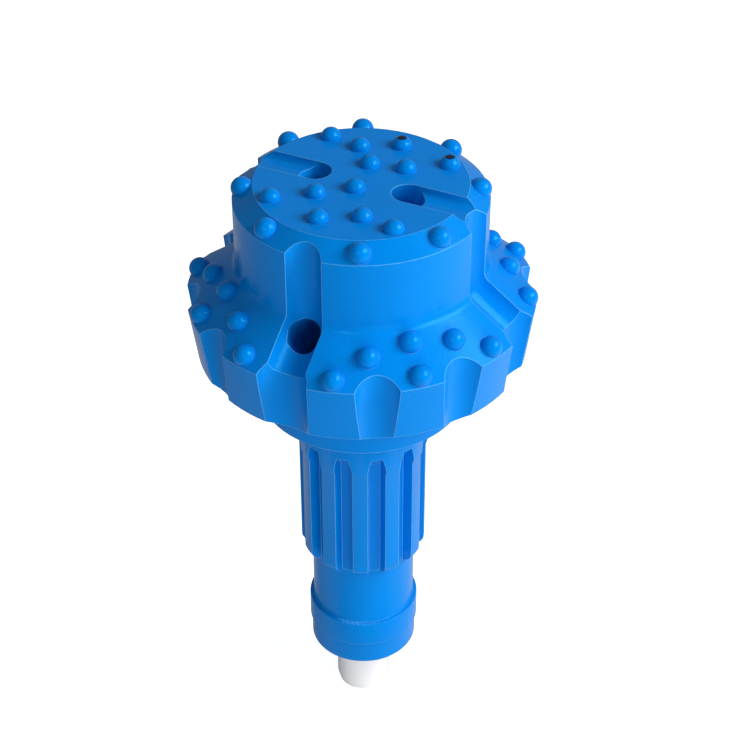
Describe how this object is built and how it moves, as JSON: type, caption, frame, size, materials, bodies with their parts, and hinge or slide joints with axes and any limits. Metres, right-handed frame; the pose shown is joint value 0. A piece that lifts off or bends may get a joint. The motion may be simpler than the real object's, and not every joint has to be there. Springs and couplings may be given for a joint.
{
  "type": "button drill bit",
  "caption": "Stepped button drill bit for a down-the-hole hammer: splined shank, plastic foot valve, fluted reaming skirt and pilot head set with domed buttons.",
  "frame": {"origin": "centre of the foot valve's lower end, on the bit's axis", "axes": "+Z along the bit's axis from the shank to the drilling face; +X through the face slots and face flushing holes, +Y through the side flushing holes"},
  "size_m": [0.2492, 0.2492, 0.4853],
  "materials": {
    "body_paint": "satin",
    "button_paint": "gloss",
    "valve_plastic": "satin"
  },
  "bodies": {
    "root": {"bit_body": "body_paint", "foot_valve": "valve_plastic", "reamer_gauge_button_01": "button_paint", "reamer_gauge_button_02": "button_paint", "reamer_gauge_button_03": "button_paint", "reamer_gauge_button_04": "button_paint", "reamer_gauge_button_05": "button_paint", "reamer_gauge_button_06": "button_paint", "reamer_gauge_button_07": "button_paint", "reamer_gauge_button_08": "button_paint", "reamer_gauge_button_09": "button_paint", "reamer_gauge_button_10": "button_paint", "reamer_gauge_button_11": "button_paint", "reamer_gauge_button_12": "button_paint", "reamer_inner_button_01": "button_paint", "reamer_inner_button_02": "button_paint", "reamer_inner_button_03": "button_paint", "reamer_inner_button_04": "button_paint", "reamer_inner_button_05": "button_paint", "reamer_inner_button_06": "button_paint", "reamer_inner_button_07": "button_paint", "reamer_inner_button_08": "button_paint", "reamer_inner_button_09": "button_paint", "reamer_inner_button_10": "button_paint", "reamer_inner_button_11": "button_paint", "reamer_inner_button_12": "button_paint", "pilot_gauge_button_01": "button_paint", "pilot_gauge_button_02": "button_paint", "pilot_gauge_button_03": "button_paint", "pilot_gauge_button_04": "button_paint", "pilot_gauge_button_05": "button_paint", "pilot_gauge_button_06": "button_paint", "pilot_gauge_button_07": "button_paint", "pilot_gauge_button_08": "button_paint", "face_button_01": "button_paint", "face_button_02": "button_paint", "face_button_03": "button_paint", "face_button_04": "button_paint", "face_button_05": "button_paint", "face_button_06": "button_paint", "face_button_07": "button_paint", "face_button_08": "button_paint", "face_button_09": "button_paint", "face_button_10": "button_paint", "face_button_11": "button_paint", "face_button_12": "button_paint"}
  },
  "joints": []
}
